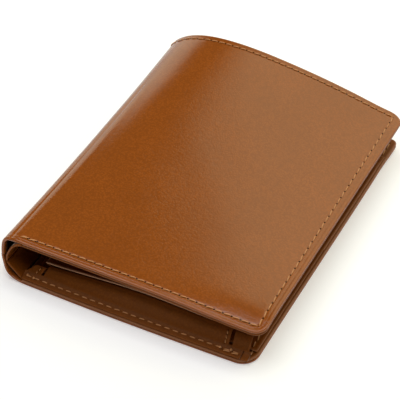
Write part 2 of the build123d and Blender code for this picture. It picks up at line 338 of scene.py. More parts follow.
def stitch_arrays(surface, path, lift=0.0, pitch=PITCH, fill=0.76, slant=0.14, rise=0.28, radius=THREAD_R):
    """Twisted stitches from hole to hole on a surface, and the dark needle holes between them."""
    pairs = divide(path, pitch)
    rings, segments = 11, 12
    v = np.linspace(-1, 1, rings)
    wobble = 0.05 * np.sin(np.arange(len(pairs)) * 2.4)
    middle = (pairs[:, 0] + pairs[:, 1]) / 2
    half = (pairs[:, 1] - pairs[:, 0]) / 2
    run = np.linalg.norm(half, axis=1, keepdims=True)
    sideways = np.stack([-half[:, 1], half[:, 0]], 1) / run
    line = middle[:, None] + half[:, None] * (v * fill)[None, :, None]
    line = line + sideways[:, None] * ((slant + wobble)[:, None] * v[None, :])[..., None]
    s, t = line[..., 0], line[..., 1]
    normal = surface.normal(s, t)
    height = lift - 0.12 + rise * (1 - v ** 4)
    centre = surface.point(s, t) + normal * height[None, :, None]
    tangent = np.gradient(centre, axis=1)
    tangent /= np.linalg.norm(tangent, axis=-1, keepdims=True)
    across = np.cross(normal, tangent)
    up = np.cross(tangent, across)
    size = radius * (1 - 0.30 * v ** 6)
    angle = np.linspace(0, 2 * math.pi, segments, endpoint=False)
    twist = v * 5.2
    lobes = 1 + 0.13 * np.cos(3 * (angle[None, :] - twist[:, None]))
    ring = size[:, None] * lobes
    points = (
        centre[:, :, None]
        + across[:, :, None] * (ring * np.cos(angle))[None, :, :, None]
        + up[:, :, None] * (ring * np.sin(angle) * 0.82)[None, :, :, None]
    )
    count = len(pairs)
    index = np.arange(count * rings * segments).reshape(count, rings, segments)
    wrapped = np.concatenate([index, index[:, :, :1]], axis=2)
    faces = []
    for stitch in wrapped:
        faces += strips(stitch, flip=True).tolist()
        faces.append(stitch[0, :-1].tolist())
        faces.append(stitch[-1, :-1][::-1].tolist())
    place = np.zeros(points.shape)
    place[..., 0] = v[None, :, None]
    place[..., 1] = angle[None, None, :]
    holes = np.concatenate([pairs[:, 0], pairs[-1:, 1]])
    hole_points, hole_faces = lens_arrays(surface, holes, lift, len(index.ravel()))
    all_points = np.concatenate([points.reshape(-1, 3), hole_points])
    all_place = np.concatenate([place.reshape(-1, 3), np.zeros((len(hole_points), 3))])
    material = [0] * len(faces) + [1] * len(hole_faces)
    return all_points, faces + hole_faces, material, all_place


def lens_arrays(surface, holes, lift, start):
    """A small flat dark lens on the surface at each needle hole: painted shade standing in for the hole's shadowed
    inside.
    """
    segments = 10
    angle = np.linspace(0, 2 * math.pi, segments, endpoint=False)
    normal = surface.normal(holes[:, 0], holes[:, 1])
    centre = surface.point(holes[:, 0], holes[:, 1]) + normal * lift
    first = np.cross(normal, np.array([0.31, 0.83, 0.46]))
    first /= np.linalg.norm(first, axis=-1, keepdims=True)
    second = np.cross(normal, first)
    ring = (
        centre[:, None]
        + first[:, None] * (HOLE_R * np.cos(angle))[None, :, None]
        + second[:, None] * (HOLE_R * np.sin(angle))[None, :, None]
        - normal[:, None] * 0.03
    )
    top = centre + normal * 0.025
    low = centre - normal * 0.2
    points, faces = [], []
    for i in range(len(holes)):
        base = start + i * (segments + 2)
        points += [top[i], low[i], *ring[i]]
        for k in range(segments):
            a, b = base + 2 + k, base + 2 + (k + 1) % segments
            faces.append([base, a, b])
            faces.append([base + 1, b, a])
    return np.array(points).reshape(-1, 3), faces


def seam_piece(name, rows):
    """One object from rows of stitches."""
    points, faces, materials, places = [], [], [], []
    start = 0
    for row in rows:
        points.append(row[0])
        faces += [[v + start for v in face] for face in row[1]]
        materials += row[2]
        places.append(row[3])
        start += len(row[0])
    obj = add_mesh(name, np.concatenate(points), faces, [THREAD, HOLE_SHADE], materials, np.concatenate(places))
    return obj


def lathe_piece(name, profile, centre, material):
    """A turned metal part from its (radius, height) profile, closed at the axis."""
    segments = 48
    angle = np.linspace(0, 2 * math.pi, segments, endpoint=False)
    points, faces = [], []
    for radius, height in profile:
        for a in angle:
            points.append((centre[0] + radius * math.cos(a), centre[1] + radius * math.sin(a), centre[2] + height))
    for i in range(len(profile) - 1):
        for k in range(segments):
            n = (k + 1) % segments
            faces.append([i * segments + k, i * segments + n, (i + 1) * segments + n, (i + 1) * segments + k])
    faces.append(list(range(segments))[::-1])
    faces.append([(len(profile) - 1) * segments + k for k in range(segments)])
    obj = add_mesh(name, np.array(points, float), faces, [material])
    return obj


# ---- materials ----------------------------------------------------------------------------
class Nodes:
    """Short ways to add and link shader nodes."""

    def __init__(self, name):
        self.material = bpy.data.materials.new(name)
        self.material.use_nodes = True
        self.tree = self.material.node_tree
        self.shader = self.tree.nodes["Principled BSDF"]

    def add(self, kind, inputs=None, **settings):
        node = self.tree.nodes.new(kind)
        for key, value in settings.items():
            setattr(node, key, value)
        for key, value in (inputs or {}).items():
            self.put(node.inputs[key], value)
        return node

    def put(self, socket, value):
        if isinstance(value, bpy.types.NodeSocket):
            self.tree.links.new(value, socket)
        else:
            socket.default_value = value

    def place(self, name="place"):
        return self.add("ShaderNodeAttribute", attribute_name=name)

    def noise(self, at, scale, detail=2.0, rough=0.5):
        node = self.add("ShaderNodeTexNoise", {"Vector": at, "Scale": scale, "Detail": detail, "Roughness": rough})
        return node.outputs["Fac"]

    def scaled(self, value, low, high, to_low=0.0, to_high=1.0):
        inputs = {0: value, 1: low, 2: high, 3: to_low, 4: to_high}
        return self.add("ShaderNodeMapRange", inputs).outputs[0]

    def mix(self, share, a, b):
        node = self.add("ShaderNodeMix", data_type="RGBA")
        self.put(node.inputs["Factor"], share)
        self.put(node.inputs["A"], a)
        self.put(node.inputs["B"], b)
        return node.outputs["Result"]

    def maths(self, operation, a, b):
        node = self.add("ShaderNodeMath", operation=operation)
        self.put(node.inputs[0], a)
        self.put(node.inputs[1], b)
        return node.outputs[0]

    def bump(self, height, distance, strength=1.0, normal=None):
        node = self.add("ShaderNodeBump", {"Height": height, "Distance": distance, "Strength": strength})
        if normal is not None:
            self.put(node.inputs["Normal"], normal)
        return node.outputs["Normal"]


def colour(red, green, blue, share=1.0):
    return (red * share, green * share, blue * share, 1.0)


def leather(name, base, roughness, rim_wear_and_highlight, shine=0.5, tint=(1, 1, 1), grain=0.030):
    """Dyed leather with grain, soft mottling, a darker creased line beside its edges, and a lighter rim that is partly
    a rubbed edge and partly a painted highlight.
    """
    n = Nodes(name)
    at = n.place().outputs["Vector"]
    edge = n.place("edge").outputs["Fac"]
    clouds = n.noise(at, 0.045, 3.0, 0.55)
    cells = n.add("ShaderNodeTexVoronoi", {"Vector": at, "Scale": 1.7, "Randomness": 0.8}, feature="SMOOTH_F1")
    creases = cells.outputs["Distance"]
    tone = n.mix(n.scaled(clouds, 0.32, 0.68), colour(*base, 0.92), colour(*base, 1.07))
    tone = n.mix(n.scaled(creases, 0.15, 0.55, 0.0, 0.75), tone, colour(*base, 0.70))
    # Lighter rim beside the edges: partly rubbed leather, partly a painted highlight where an edge catches the light.
    tone = n.mix(n.scaled(edge, 0.15, 0.9, 0.55, 0.0), tone, colour(*rim_wear_and_highlight))
    fold = n.scaled(n.maths("ABSOLUTE", n.maths("SUBTRACT", edge, CREASE_INSET), 0.0), 0.0, 0.28, 0.14, 0.0)
    tone = n.mix(fold, tone, colour(*base, 0.55))
    n.put(n.shader.inputs["Base Color"], tone)
    rough = n.scaled(n.noise(at, 0.35, 3.0, 0.6), 0.3, 0.7, roughness - 0.03, roughness + 0.04)
    n.put(n.shader.inputs["Roughness"], rough)
    n.put(n.shader.inputs["IOR"], 1.48)
    n.put(n.shader.inputs["Specular IOR Level"], shine)
    n.put(n.shader.inputs["Specular Tint"], colour(*tint))
    pebble = n.maths("SUBTRACT", n.maths("MULTIPLY", n.noise(at, 5.0, 2.0), 0.6), creases)
    normal = n.bump(pebble, grain * MM, 1.0)
    normal = n.bump(n.noise(at, 0.16, 2.0, 0.5), 0.06 * MM, 0.35, normal)
    n.put(n.shader.inputs["Normal"], normal)
    return n.material


def suede(name, base):
    """The leather's rough flesh side."""
    n = Nodes(name)
    at = n.place().outputs["Vector"]
    nap = n.noise(at, 2.6, 4.0, 0.7)
    n.put(n.shader.inputs["Base Color"], n.mix(n.scaled(nap, 0.3, 0.7), colour(*base, 0.75), colour(*base, 1.15)))
    n.put(n.shader.inputs["Roughness"], 0.9)
    n.put(n.shader.inputs["Sheen Weight"], 0.25)
    n.put(n.shader.inputs["Normal"], n.bump(nap, 0.08 * MM, 0.8))
    return n.material


def woven(name, base):
    """Plain-woven lining with threads of about 0.35 mm."""
    n = Nodes(name)
    at = n.place().outputs["Vector"]
    axes = n.add("ShaderNodeSeparateXYZ", {"Vector": at})
    turns = 2 * math.pi / 0.7
    warp = n.maths("SINE", n.maths("MULTIPLY", axes.outputs["X"], turns), 0.0)
    weft = n.maths("SINE", n.maths("MULTIPLY", axes.outputs["Y"], turns), 0.0)
    weave = n.scaled(n.maths("MULTIPLY", warp, weft), -1.0, 1.0)
    n.put(n.shader.inputs["Base Color"], n.mix(weave, colour(*base, 0.7), colour(*base, 1.25)))
    n.put(n.shader.inputs["Roughness"], 0.85)
    n.put(n.shader.inputs["Specular IOR Level"], 0.15)
    n.put(n.shader.inputs["Normal"], n.bump(weave, 0.1 * MM, 0.9))
    return n.material


def spun_thread(name, base):
    """Waxed sewing thread with fine fibres along its twist."""
    n = Nodes(name)
    at = n.place().outputs["Vector"]
    fibres = n.noise(at, 6.0, 3.0, 0.6)
    n.put(n.shader.inputs["Base Color"], n.mix(n.scaled(fibres, 0.3, 0.7), colour(*base, 0.8), colour(*base, 1.15)))
    n.put(n.shader.inputs["Roughness"], 0.5)
    n.put(n.shader.inputs["Sheen Weight"], 0.3)
    n.put(n.shader.inputs["Normal"], n.bump(fibres, 0.05 * MM, 0.6))
    return n.material


def needle_hole(name):
    """The shadowed inside of a needle hole, with the torn fibres it lets show."""
    n = Nodes(name)
    fibres = n.noise(n.add("ShaderNodeNewGeometry").outputs["Position"], 4000.0, 2.0)
    n.put(n.shader.inputs["Base Color"], n.mix(fibres, (0.010, 0.003, 0.001, 1), (0.035, 0.012, 0.003, 1)))
    n.put(n.shader.inputs["Specular IOR Level"], 0.0)
    n.put(n.shader.inputs["Roughness"], 0.9)
    return n.material


def brass(name):
    """Satin antique brass, browned in its hollows."""
    n = Nodes(name)
    at = n.add("ShaderNodeTexCoord").outputs["Object"]
    stain = n.noise(at, 900.0, 4.0, 0.6)
    n.put(n.shader.inputs["Base Color"], n.mix(n.scaled(stain, 0.4, 0.65), (0.48, 0.34, 0.16, 1), (0.30, 0.20, 0.09, 1)))
    n.put(n.shader.inputs["Metallic"], 1.0)
    n.put(n.shader.inputs["Roughness"], n.scaled(stain, 0.3, 0.7, 0.24, 0.45))
    n.put(n.shader.inputs["Normal"], n.bump(n.noise(at, 6000.0, 2.0), 0.01 * MM, 0.5))
    return n.material


COGNAC = (0.304, 0.078, 0.0088)
# The interior leather is the same cognac, darkened by about a third as painted shade for the inside of the wallet.
COGNAC_IN_PAINTED_SHADE = (0.200, 0.052, 0.0042)            # the interior leather
WARM = (1.0, 0.78, 0.55)
OUTER = leather("cognac_leather", COGNAC, 0.11, rim_wear_and_highlight=(0.31, 0.085, 0.012))
INNER = leather("interior_leather", COGNAC_IN_PAINTED_SHADE, 0.42, rim_wear_and_highlight=(0.21, 0.058, 0.008), shine=0.2, tint=WARM)
# Interior panel, card slots and coin pocket: their light rims are mostly painted highlights along the edges, with a
# little rubbing.
PANEL = leather("interior_panel_leather", COGNAC_IN_PAINTED_SHADE, 0.40, rim_wear_and_highlight=(0.36, 0.165, 0.085), shine=0.25, tint=WARM)
SLOT = leather("card_slot_leather", COGNAC_IN_PAINTED_SHADE, 0.42, rim_wear_and_highlight=(0.30, 0.12, 0.05), shine=0.2, tint=WARM)
# Coin-pocket front: its near-whitish rim is a painted highlight on the pocket's near edge.
RUBBED_AND_HIGHLIT = leather("coin_pocket_leather", COGNAC_IN_PAINTED_SHADE, 0.36, rim_wear_and_highlight=(0.62, 0.34, 0.20), shine=0.3, tint=WARM)
FLESH = suede("leather_flesh_side", (0.20, 0.085, 0.03))
FABRIC = woven("woven_lining", (0.060, 0.027, 0.010))
THREAD = spun_thread("tan_thread", (0.55, 0.228, 0.060))
HOLE_SHADE = needle_hole("needle_hole")
BRASS = brass("antique_brass")


# ---- the outer shell's surface, from the free edge of the back half round to that of the front
near_section = [
    (BACK_X, 0), (20, 0), (0, 0), (-20, 0), (-36, 0),
    (SPINE_X + 6.3, 0.2), (SPINE_X + 3.2, 1.2), (SPINE_X + 1.4, 2.8), (SPINE_X + 0.3, 5.9),
    (SPINE_X - 0.45, 9.5), (SPINE_X - 0.45, 13.0), (SPINE_X - 0.05, 15.0), (SPINE_X + 0.5, SPLIT_Z),
    (SPINE_X + 1.5, 16.9), (SPINE_X + 3.3, 17.35), (-38, 17.45), (-20, 17.3), (0, 17.15),
    (20, 17.0), (32, 16.9), (40, 16.85), (COVER_X, 16.8),
]
far_section = [
    (BACK_X, 0), (20, 0), (0, 0), (-20, 0), (-36, 0),
    (SPINE_X + 6.3, 0.2), (SPINE_X + 3.2, 1.2), (SPINE_X + 1.4, 2.8), (SPINE_X + 0.3, 5.9),
    (SPINE_X - 0.05, 9.5), (SPINE_X - 0.2, 13.0), (SPINE_X - 0.1, 15.0), (SPINE_X + 0.05, SPLIT_Z),
    (SPINE_X + 0.9, 17.8), (SPINE_X + 3.0, 19.9), (-38.3, 23.0), (-20, ARCH_Z), (-1, 24.2),
    (17.5, 21.3), (30, 18.7), (38.5, 16.8), (COVER_X, 15.5),
]
LOWER_SPLIT = 9           # knots where the shell is divided
UPPER_SPLIT = 12
SPINE_CREASE = 3.65       # upper split to the crease along the spine


def corner_sag(x, y):
    """The front half's free near corner hangs a little lower than the rest of it."""
    return 1.1 * smooth(5, 42, x) * np.exp(-(((y + HALF) / 6.5) ** 2))


def cover_y(y):
    """The front half is a little shorter than the back half at both ends."""
    return y * 0.983 - 0.25


def bowed(x, y):
    """The back half's near edge is bowed a little outwards."""
    return y - 0.6 * (1 - ((x + 8) / 44) ** 2) * smooth(-30, -HALF, y)


def flared(x, y, z):
    """The back half widens a little towards its far end, where its free corner curls up."""
    right = smooth(20, BACK_X, x)
    wider = x + (0.4 * smooth(-60, 40, y) + 0.6 * smooth(45, 60, y)) * right
    return wider, z + 1.0 * smooth(38, HALF, y) * right * right


def shell_shape(s, x, y, z):
    """Bowed back half, shorter front half with its hanging corner, and a spine pinched at half its length."""
    knots = shell.knots
    back_x, back_z = flared(x, y, z)
    is_back = s < knots[LOWER_SPLIT - 5]
    x, z = np.where(is_back, back_x, x), np.where(is_back, back_z, z)
    z = z - np.where(s > knots[UPPER_SPLIT], corner_sag(x, y), 0)
    pinch = smooth(knots[LOWER_SPLIT - 3], knots[LOWER_SPLIT + 1], s) * smooth(knots[UPPER_SPLIT + 4], knots[UPPER_SPLIT], s)
    x = x + 0.8 * pinch * (1 - (y / HALF) ** 2)
    share = smooth(knots[LOWER_SPLIT - 3], knots[UPPER_SPLIT], s)
    y = bowed(x, y) * (1 - share) + cover_y(y) * share
    return x, y, z


shell = Section(near_section, far_section, shape=shell_shape)
lower_split = shell.knots[LOWER_SPLIT]
upper_split = shell.knots[UPPER_SPLIT]
shell_end = shell.knots[-1]


def stitched_relief(s, t, edge):
    """Creased line and stitch channel beside a finished edge, and the leather's faint unevenness."""
    crease = -0.05 * np.exp(-(((edge - CREASE_INSET) / 0.18) ** 2))
    channel = -0.07 * np.exp(-(((edge - SEAM_INSET) / 0.45) ** 2))
    uneven = 0.035 * np.sin(s * 0.19 + 1.3 * np.sin(t * 0.07)) * np.sin(t * 0.13 + 0.8)
    return crease + channel + uneven * smooth(3, 9, edge)


def cover_relief(s, t, edge):
    """The same, with the crease that has worn in along the spine."""
    line = upper_split + SPINE_CREASE + 0.0095 * t
    valley = -0.12 * np.exp(-(((s - line) / 0.48) ** 2))
    roll = 0.11 * np.exp(-(((s - line - 2.0) / 1.3) ** 2))
    return stitched_relief(s, t, edge) + (valley + roll) * smooth(40, 22, t)


def sunk_relief(s, t, edge):
    """Deeper stitch channel, which keeps the back half's thread clear of the table."""
    crease = -0.12 * np.exp(-(((edge - CREASE_INSET) / 0.16) ** 2))
    return crease - 0.42 * np.exp(-(((edge - SEAM_INSET) / 0.42) ** 2)) * smooth(81, 79, s)


def hemmed_relief(s, t, edge):
    """Creased line alone."""
    return -0.10 * np.exp(-(((edge - CREASE_INSET) / 0.16) ** 2))


def outer_shell():
    wrap = sheet_arrays(shell, (0, lower_split), (-HALF, HALF), LEATHER, closed="stT", radius=BACK_RADIUS,
                        turned=0.2, skived=0.45, relief=sunk_relief, step=0.8)
    back = leather_piece("outer_leather_back", [wrap], OUTER, FLESH)
    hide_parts("shell_back")
    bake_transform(back)
    fold = sheet_arrays(shell, (lower_split, upper_split), (-HALF, HALF), LEATHER, closed="tT",
                        turned=0.2, relief=hemmed_relief, step=0.5)
    upper = leather_piece("outer_leather_spine", [fold], OUTER, FLESH)
    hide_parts("shell_spine")
    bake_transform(upper)
    cover = sheet_arrays(shell, (upper_split, shell_end), (-HALF, HALF), LEATHER, closed="StT",
                         radius=COVER_RADIUS, turned=0.2, relief=cover_relief, step=0.75,
                         fine=(upper_split + SPINE_CREASE - 2.4, upper_split + SPINE_CREASE + 2.4))
    front = leather_piece("outer_leather_front", [cover], OUTER, FLESH)
    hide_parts("shell_front")
    ride_cover(front)


def ride_cover(piece):
    """Attaches a piece of the front half's outer layers to the front half, with a mesh of its own."""
    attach(piece, "front_half")
    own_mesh(piece)


def linings():
    reach = HALF - 1.4
    start = shell.s_at(BACK_X - 1.5)
    wrap = sheet_arrays(shell, (start, shell.knots[UPPER_SPLIT - 1]), (-reach, reach), 0.25,
                        depth=LEATHER + 0.06, closed="stT", radius=LINING_RADIUS, step=1.5)
    low = leather_piece("lining_back_and_spine", [wrap], FABRIC, FABRIC)
    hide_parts("lining_back", "lining_spine")
    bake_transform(low)
    over = sheet_arrays(shell, (upper_split + 1.2, shell_end - 1.5), (-reach, reach), 0.25,
                        depth=LEATHER + 0.06, closed="StT", radius=LINING_RADIUS, step=1.5)
    top = leather_piece("lining_cover", [over], FABRIC, FABRIC)
    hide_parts("lining_front")
    ride_cover(top)


# ---- interior panels ----------------------------------------------------------------------
INNER_X = PANEL_LOW[0]
BASE_FRONT_Z = FRONT_LOW[2] + 0.3        # the visible, lower face of the front half's panel


def back_shape(s, x, y, z):
    """The back half's layers are pressed together at the seam along its bowed near edge."""
    z = z - 0.75 * np.exp(-(((y + HALF) / 2.6) ** 2))
    wide, lifted = flared(x, y, z)
    return wide, bowed(x, y), lifted


def slot_shape(s, x, y, z):
    wide, lifted = flared(x, y, z)
    return wide, y, lifted


def front_shape(s, x, y, z):
    return x, cover_y(y), z - corner_sag(x, y)


back_panel = Section([(INNER_X, PANEL_HIGH[2]), (BACK_X, PANEL_HIGH[2])], shape=back_shape)
front_panel = Section(
    [(COVER_X, BASE_FRONT_Z - 0.6), (20, BASE_FRONT_Z - 0.4), (0, BASE_FRONT_Z - 0.2), (INNER_X - 0.4, BASE_FRONT_Z)],
    [(COVER_X, BASE_FRONT_Z - 1.3), (20, BASE_FRONT_Z - 0.6), (0, BASE_FRONT_Z - 0.2), (INNER_X - 0.4, BASE_FRONT_Z)],
    shape=front_shape,
)
hinge_upper = Section([(-38.9, 15.9), (-40.2, 15.6), (-42.0, 14.2), (-43.6, 11.4), (-44.4, 9.0), (-44.5, 7.4)])
hinge_lower = Section([(-44.5, 7.2), (-43.9, 6.4), (-42.3, 4.8), (-40.3, 2.9), (-39.5, 2.3)])


def interior():
    base = sheet_arrays(back_panel, (0, BACK_X - INNER_X), (-HALF, HALF), PANEL_HIGH[2] - PANEL_LOW[2] + 0.02,
                        closed="sStT", rounded="S", radius=BACK_RADIUS, skived=0.2, relief=stitched_relief, step=0.9)
    piece = leather_piece("interior_panel_back", [base], PANEL, FLESH)
    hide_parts("base_back")
    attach(piece, "back_half")
    length = front_panel.knots[-1]
    base = sheet_arrays(front_panel, (0, length), (-HALF, HALF), 0.85, closed="sStT", rounded="s",
                        radius=COVER_RADIUS, turned=0.1, relief=stitched_relief, step=0.9)
    piece = leather_piece("interior_panel_front", [base], INNER, FLESH)
    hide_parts("base_front")
    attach(piece, "front_half")
    reach = HALF - 0.3
    upper = sheet_arrays(hinge_upper, (0, hinge_upper.knots[-1]), (-reach, reach), 0.75, closed="sStT",
                         relief=hemmed_relief, step=0.5)
    piece = leather_piece("hinge_leather_upper", [upper], INNER, FLESH)
    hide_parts("hinge_panel")
    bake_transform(piece)
    lower = sheet_arrays(hinge_lower, (0, hinge_lower.knots[-1]), (-reach, reach), 0.75, closed="sStT",
                         relief=hemmed_relief, step=0.5)
    piece = leather_piece("hinge_leather_lower", [lower], INNER, FLESH)
    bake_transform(piece)


def slot_relief(s, t, edge):
    """A creased line beside a card slot's rolled edge."""
    return -0.08 * np.exp(-(((edge - CREASE_INSET) / 0.18) ** 2))


def card_slots():
    for i in range(2):
        low, high = extent(f"card_slot_back_{i + 1}")
        near = max(low[1], NEAR)
        flat = Section([(low[0], high[2]), (high[0], high[2])], shape=slot_shape)
        arrays = sheet_arrays(flat, (0, high[0] - low[0]), (near, high[1]), POCKET, closed="sStT",
                              relief=slot_relief, step=1.2)
        piece = leather_piece(f"card_slot_leather_back_{i + 1}", [arrays], SLOT, FLESH)
        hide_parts(f"card_slot_back_{i + 1}")
        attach(piece, "back_half")
    for i in range(4):
        low, high = extent(f"card_slot_front_{i + 1}")
        arrays = sheet_arrays(front_panel, (COVER_X - high[0], COVER_X - low[0]), (low[1], high[1]), POCKET,
                              depth=-(i + 1) * SLOT_STEP, closed="sStT", relief=slot_relief, step=1.2)
        piece = leather_piece(f"card_slot_leather_front_{i + 1}", [arrays], SLOT, FLESH)
        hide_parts(f"card_slot_front_{i + 1}")
        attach(piece, "front_half")


# ---- coin pocket --------------------------------------------------------------------------
BOX_LEFT, BOX_RIGHT = COIN_LOW[0] + 1.0, COIN_HIGH[0] + 1.7
NEAR = COIN_LOW[1]
FOOT_NEAR = -HALF + 0.5
LEFT_END = COIN_LOW[0] - 5.6


def coin_edge_sag(x):
    """The pocket's near edge lies low at the left corner and stands up in the middle."""
    return 2.2 - 2.9 * smooth(COIN_LOW[0] - 6, 6, x) + 0.7 * smooth(4, COIN_HIGH[0], x)


def coin_front_shape(s, x, y, z):
    """The same, dying out away from the edge."""
    return x, y, z - coin_edge_sag(x) * np.exp(-(((y - NEAR) / 12.0) ** 2))


def wall_shape(s, x, y, z):
    """The gusset's wall follows the front panel at its top, and leans to the right at its left end."""
    rise = np.clip(1 - s / wall.knots[-1], 0, 1)
    lean = np.interp(x, (LEFT_END, BOX_LEFT, BOX_LEFT + 12), (4.4, 1.2, 0.0))
    return x + lean * rise, bowed(x, y), z - (coin_edge_sag(x) + 0.15) * rise


def foot_shape(s, x, y, z):
    return x, bowed(x, y), z


def bellows_shape(s, x, y, z):
    """The side gussets' tops follow the front panel."""
    high = (z - FLOOR_Z) / (COIN_LOW[2] - FLOOR_Z)
    return x, y, z - high * coin_edge_sag(x) * np.exp(-(((y - NEAR) / 12.0) ** 2))


foot = Section([
    (NEAR - 1.2, 3.3), (NEAR - 1.9, 2.75), (NEAR - 2.9, 2.35), (NEAR - 3.8, 2.1), (FOOT_NEAR, 1.95),
], along="x", shape=foot_shape)
wall = Section([
    (NEAR + 1.9, COIN_LOW[2] - 0.1), (NEAR + 1.0, COIN_LOW[2] - 0.8), (NEAR - 0.2, 5.6), (NEAR - 1.0, 3.9),
    (NEAR - 1.6, 2.9),
], along="x", shape=wall_shape)
coin_top = Section([(COIN_LOW[0] + 0.6, COIN_HIGH[2]), (0, COIN_HIGH[2]), (COIN_HIGH[0], COIN_HIGH[2])],
                   shape=coin_front_shape)


def coin_pocket():
    flat = [
        sheet_arrays(foot, (0, foot.knots[-1]), (LEFT_END, 39.3), 0.40, closed="S", step=0.7),
        sheet_arrays(foot, (0, foot.knots[-1]), (39.7, 42.0), 0.40, closed="S", step=0.7),
        sheet_arrays(wall, (0, wall.knots[-1]), (BOX_LEFT, BOX_RIGHT), 0.55, step=0.7),
        sheet_arrays(wall, (1.6, wall.knots[-1]), (LEFT_END, BOX_LEFT - 1.0), 0.55, step=0.7),
        sheet_arrays(wall, (0.4, wall.knots[-1]), (BOX_RIGHT + 1.1, 41.2), 0.55, step=0.7),
    ]
    piece = leather_piece("coin_pocket_bottom_gusset", flat, INNER, FLESH)
    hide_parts("coin_gusset_bottom")
    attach(piece, "back_half")
    for name, sign in (("left", 1), ("right", -1)):
        low, high = extent(f"coin_gusset_{name}")
        edge_x = (COIN_LOW if name == "left" else COIN_HIGH)[0] + sign * 0.1
        middle = (FLOOR_Z + COIN_LOW[2]) / 2
        knots = [(edge_x, FLOOR_Z + 0.05), (edge_x + sign * 1.9, middle - 0.5), (edge_x + sign * 2.3, middle),
                 (edge_x + sign * 1.9, middle + 0.5), (edge_x, COIN_LOW[2] - 0.05)]
        if name == "right":
            knots = knots[::-1]
        bellows = Section(knots, shape=bellows_shape)
        arrays = sheet_arrays(bellows, (0, bellows.knots[-1]), (NEAR + 1.6, COIN_HIGH[1]), 0.5, step=0.6)
        piece = leather_piece(f"coin_pocket_side_gusset_{name}", [arrays], INNER, FLESH)
        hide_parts(f"coin_gusset_{name}")
        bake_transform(piece)
    arrays = sheet_arrays(coin_top, (0, coin_top.knots[-1]), (NEAR + 1.2, COIN_HIGH[1]), 0.7, closed="sStT",
                          relief=slot_relief, step=0.9)
    piece = leather_piece("coin_pocket_front", [arrays], RUBBED_AND_HIGHLIT, FLESH)
    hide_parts("coin_front_panel")
    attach(piece, "coin_front")


FOLD_Y = FLAP_HIGH[1]
FLAP_TOP = FLAP_HIGH[2]
FLAP_TIP = FLAP_LOW[1]
flap_half = FLAP_HIGH[0]


def flap_shape(s, x, y, z):
    """The flap narrows from its fold to its tip."""
    return x * (1 - 0.26 * np.clip((FOLD_Y - y) / (FOLD_Y - FLAP_TIP), 0, 1)), y, z


flap_face = Section([
    (ROOT_HIGH[1], ROOT_LOW[2] + 0.8), (ROOT_LOW[1] + 2.6, ROOT_LOW[2] + 0.8), (ROOT_LOW[1] + 1.4, ROOT_LOW[2] + 1.2),
    (ROOT_LOW[1] + 0.9, ROOT_LOW[2] + 2.2), (ROOT_LOW[1] + 0.8, 8.0), (ROOT_LOW[1] + 0.6, 9.8),
    (ROOT_LOW[1] - 0.5, FLAP_TOP - 0.25), (FOLD_Y - 1.5, FLAP_TOP), (15, FLAP_TOP), (0, FLAP_TOP - 0.05),
    (FLAP_TIP, FLAP_TOP - 0.15),
], along="x", shape=flap_shape)


def flap_relief(s, t, edge):
    """Creased line and stitch channel round the flap."""
    return -0.1 * np.exp(-(((edge - CREASE_INSET) / 0.16) ** 2)) - 0.08 * np.exp(-(((edge - SEAM_INSET) / 0.4) ** 2))


def flap():
    arrays = sheet_arrays(flap_face, (0, flap_face.knots[-1]), (-flap_half, flap_half), 0.8, closed="sStT",
                          radius=(8.0, 8.0), relief=flap_relief, step=0.8)
    piece = leather_piece("coin_flap_leather", [arrays], INNER, FLESH)
    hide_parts("coin_flap", "flap_root")
    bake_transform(piece)
    start = flap_face.s_at(FOLD_Y - 2.0)
    arrays = sheet_arrays(flap_face, (start, flap_face.knots[-1] - 1.6), (-flap_half + 1.6, flap_half - 1.6), 0.35,
                          depth=0.84, closed="sStT", radius=(6.5, 6.5), step=1.2)
    piece = leather_piece("coin_flap_lining_fabric", [arrays], FABRIC, FABRIC)
    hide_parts("coin_flap_lining")
    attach(piece, "coin_flap")


def press_stud():
    centre = ((CAP_LOW[0] + CAP_HIGH[0]) / 2, (CAP_LOW[1] + CAP_HIGH[1]) / 2)
    radius = CAP_HIGH[0] - centre[0]
    top = CAP_HIGH[2] - FLAP_TOP
    dome = [(radius - 0.3, 0.0), (radius, 0.15), (radius - 0.05, 0.4), (radius - 0.6, 0.62), (radius - 1.2, 0.55)]
    dome += [(radius * k, top - 0.32 * k * k) for k in (0.68, 0.5, 0.34, 0.18, 0.02)]
    piece = lathe_piece("press_stud_cap", dome, (*centre, FLAP_TOP + 0.02), BRASS)
    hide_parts("stud_cap")
    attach(piece, "coin_flap")
    low, high = extent("stud_socket")
    size, height = high[0] - centre[0], high[2] - low[2]
    ring = [(size * 0.3, height), (size, height), (size, height * 0.6), (size * 0.85, height * 0.35),
            (size * 0.8, 0.05), (size * 0.7, 0), (size * 0.58, 0.05), (size * 0.56, height * 0.7),
            (0.05, height * 0.75)]
    piece = lathe_piece("press_stud_socket", [(r, h) for r, h in ring][::-1], (*centre, low[2]), BRASS)
    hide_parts("stud_socket")
    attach(piece, "coin_flap")
    low, high = extent("stud_nub")
    size, height = high[0] - centre[0], high[2] - low[2]
    ball = [(size * 1.5, -0.12), (size * 1.5, 0.02), (size * 1.2, 0.08), (size * 0.86, 0.12), (size * 0.84, 0.2),
            (size, height * 0.6), (size * 0.95, height * 0.85), (size * 0.7, height), (0.05, height)]
    piece = lathe_piece("press_stud_ball", ball, (*centre, low[2]), BRASS)
    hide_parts("stud_nub")
    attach(piece, "coin_front")
    low, high = extent("stud_rivet")
    size = high[0] - centre[0]
    washer = [(0.4, 0.0), (size * 0.9, 0.0), (size, 0.12), (size, 0.3), (size * 0.9, 0.38), (0.4, 0.38)]
    piece = lathe_piece("press_stud_rivet", washer, (*centre, low[2]), BRASS)
    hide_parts("stud_rivet")
    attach(piece, "coin_front")


